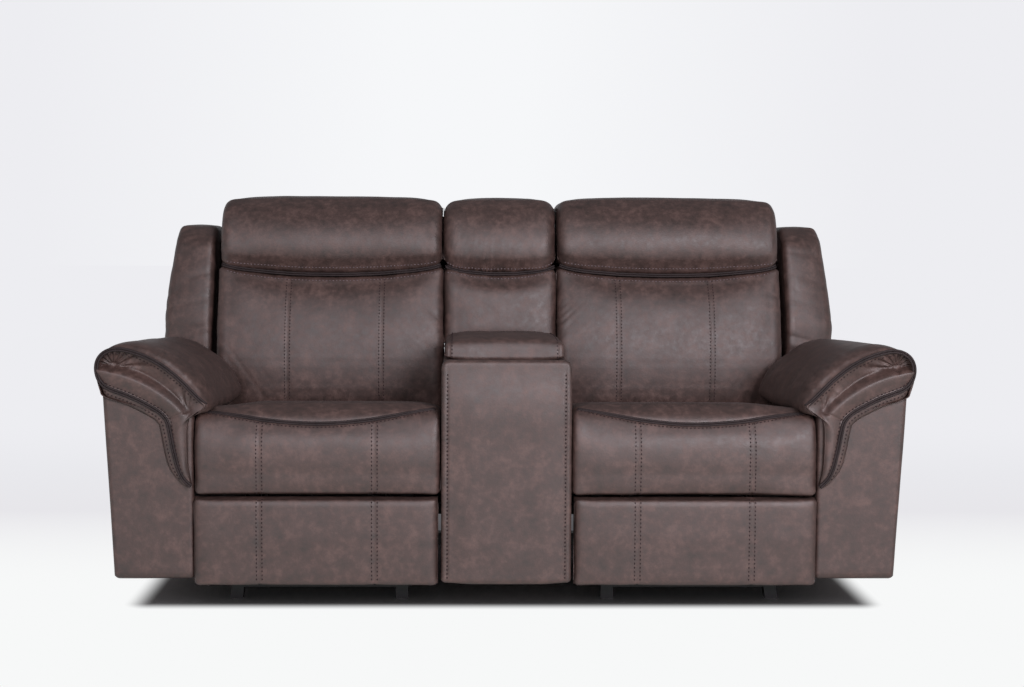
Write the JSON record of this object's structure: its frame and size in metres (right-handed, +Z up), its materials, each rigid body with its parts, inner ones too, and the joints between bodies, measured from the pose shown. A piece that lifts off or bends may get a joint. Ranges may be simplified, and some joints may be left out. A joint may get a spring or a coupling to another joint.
{
  "type": "reclining loveseat with console",
  "caption": "Upholstered sofa with reclining backs, swing-out footrests, pillow-top arms and a fixed centre console with cup holders and a lidded storage bin.",
  "frame": {"origin": "on the floor, under the middle of the sofa's bounding box", "axes": "+X along the sofa's length to the viewer's right, -Y towards the front, +Z up"},
  "size_m": [1.916, 0.975, 0.99],
  "materials": {
    "leather": "satin",
    "black_steel": "satin",
    "chrome": "polished",
    "black_plastic": "matte",
    "wood": "matte",
    "dust_cloth": "matte"
  },
  "bodies": {
    "frame": {"arm_band_left": "leather", "arm_band_right": "leather", "arm_box_left": "leather", "arm_box_right": "leather", "arm_pillow_left": "leather", "arm_pillow_right": "leather", "base_rail_left_inner": "black_steel", "base_rail_left_outer": "black_steel", "base_rail_right_inner": "black_steel", "base_rail_right_outer": "black_steel", "centre_back_cushion": "leather", "centre_back_frame": "wood", "centre_headrest": "leather", "console_body": "leather", "console_deck": "black_plastic", "console_front_pad": "leather", "cross_tube_left_front": "black_steel", "cross_tube_left_rear": "black_steel", "cross_tube_right_front": "black_steel", "cross_tube_right_rear": "black_steel", "cup_holder_left": "chrome", "cup_holder_right": "chrome", "rear_apron_left": "dust_cloth", "rear_apron_right": "dust_cloth", "recline_pivot_left_inner": "black_steel", "recline_pivot_left_outer": "black_steel", "recline_pivot_right_inner": "black_steel", "recline_pivot_right_outer": "black_steel", "release_dish_left": "black_plastic", "release_dish_right": "black_plastic", "storage_bin": "black_plastic", "stretcher_left": "black_steel", "stretcher_right": "black_steel"},
    "lid": {"lid_board": "wood", "lid_pad": "leather"},
    "back_left": {"back_frame_left": "wood", "back_cushion_left": "leather", "headrest_left": "leather", "wing_left": "leather"},
    "seat_left": {"seat_frame_left": "black_steel", "seat_cushion_left": "leather"},
    "footrest_drive_left": {"footrest_drive_left": "black_steel"},
    "front_links_left": {"front_link_left_inner": "black_steel", "front_link_left_outer": "black_steel"},
    "footrest_left": {"footrest_board_left": "wood", "footrest_pad_left": "leather"},
    "release_left": {"release_lever_left": "black_plastic"},
    "back_right": {"back_frame_right": "wood", "back_cushion_right": "leather", "headrest_right": "leather", "wing_right": "leather"},
    "seat_right": {"seat_frame_right": "black_steel", "seat_cushion_right": "leather"},
    "footrest_drive_right": {"footrest_drive_right": "black_steel"},
    "front_links_right": {"front_link_right_inner": "black_steel", "front_link_right_outer": "black_steel"},
    "footrest_right": {"footrest_board_right": "wood", "footrest_pad_right": "leather"},
    "release_right": {"release_lever_right": "black_plastic"}
  },
  "joints": [
    {"name": "recline_left", "type": "hinge", "parent": "frame", "child": "back_left", "pos_m": [-0.44, 0.205, 0.388], "axis": [-1, 0, 0], "range_deg": [0, 32]},
    {"name": "seat_slide_left", "type": "slide", "parent": "frame", "child": "seat_left", "axis": [0, -1, 0], "range_m": [0, 0.051]},
    {"name": "footrest_open_left", "type": "hinge", "parent": "seat_left", "child": "footrest_drive_left", "pos_m": [-0.44, -0.33, 0.232], "axis": [-1, 0, 0], "range_deg": [0, 167]},
    {"name": "front_link_swing_left", "type": "hinge", "parent": "footrest_drive_left", "child": "front_links_left", "pos_m": [-0.44, -0.18511, 0.19318], "axis": [-1, 0, 0], "range_deg": [-132, 0]},
    {"name": "footrest_tilt_left", "type": "hinge", "parent": "front_links_left", "child": "footrest_left", "pos_m": [-0.44, -0.4117, 0.19], "axis": [-1, 0, 0], "range_deg": [0, 55]},
    {"name": "release_pull_left", "type": "hinge", "parent": "frame", "child": "release_left", "pos_m": [-0.94183, -0.19, 0.31775], "axis": [0, 1, 0], "range_deg": [0, 25], "stiffness_Nm_per_rad": 0.5},
    {"name": "recline_right", "type": "hinge", "parent": "frame", "child": "back_right", "pos_m": [0.44, 0.205, 0.388], "axis": [-1, 0, 0], "range_deg": [0, 32]},
    {"name": "seat_slide_right", "type": "slide", "parent": "frame", "child": "seat_right", "axis": [0, -1, 0], "range_m": [0, 0.051]},
    {"name": "footrest_open_right", "type": "hinge", "parent": "seat_right", "child": "footrest_drive_right", "pos_m": [0.44, -0.33, 0.232], "axis": [-1, 0, 0], "range_deg": [0, 167]},
    {"name": "front_link_swing_right", "type": "hinge", "parent": "footrest_drive_right", "child": "front_links_right", "pos_m": [0.44, -0.18511, 0.19318], "axis": [-1, 0, 0], "range_deg": [-132, 0]},
    {"name": "footrest_tilt_right", "type": "hinge", "parent": "front_links_right", "child": "footrest_right", "pos_m": [0.44, -0.4117, 0.19], "axis": [-1, 0, 0], "range_deg": [0, 55]},
    {"name": "release_pull_right", "type": "hinge", "parent": "frame", "child": "release_right", "pos_m": [0.94183, -0.19, 0.31775], "axis": [0, -1, 0], "range_deg": [0, 25], "stiffness_Nm_per_rad": 0.5},
    {"name": "lid_hinge", "type": "hinge", "parent": "frame", "child": "lid", "pos_m": [0, 0.03, 0.5723], "axis": [-1, 0, 0], "range_deg": [0, 85]}
  ],
  "couplings": [
    {"joint": "seat_slide_left", "follows": "recline_left", "m_per_rad": 0.08952},
    {"joint": "front_link_swing_left", "follows": "footrest_open_left", "ratio": -0.78563},
    {"joint": "footrest_tilt_left", "follows": "footrest_open_left", "ratio": 0.32455},
    {"joint": "seat_slide_right", "follows": "recline_right", "m_per_rad": 0.08952},
    {"joint": "front_link_swing_right", "follows": "footrest_open_right", "ratio": -0.78563},
    {"joint": "footrest_tilt_right", "follows": "footrest_open_right", "ratio": 0.32455}
  ]
}
